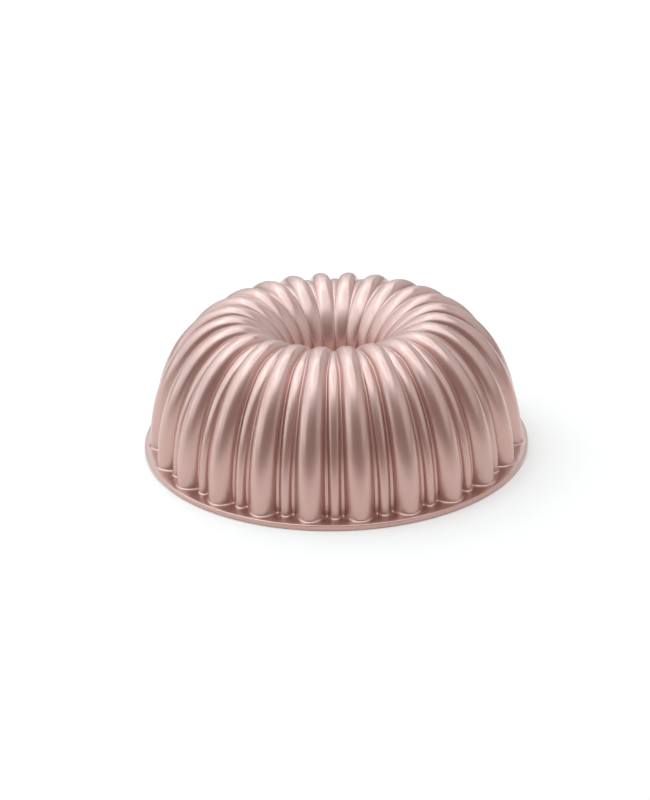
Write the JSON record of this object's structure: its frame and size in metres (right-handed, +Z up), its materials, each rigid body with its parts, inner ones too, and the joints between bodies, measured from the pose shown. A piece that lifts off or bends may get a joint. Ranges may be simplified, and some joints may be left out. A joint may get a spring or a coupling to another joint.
{
  "type": "ring cake mould",
  "caption": "Fluted ring cake mould upside down on its flat rim: round lobes with thin beads between them roll over the crown into an open centre tube. Satin rose metal finish.",
  "frame": {"origin": "centre of the flat underside of the rim, the plane that the mould stands on", "axes": "+Z up along the ring's axis, towards the crown; -Y towards the front, where a bead stands"},
  "size_m": [0.26, 0.26, 0.0936],
  "materials": {
    "rose_lacquered_metal": "satin metallic lacquer",
    "nonstick_coat": "satin non-stick coat"
  },
  "bodies": {
    "root": {"mould_casting": "rose_lacquered_metal", "nonstick_lining": "nonstick_coat"}
  },
  "joints": []
}
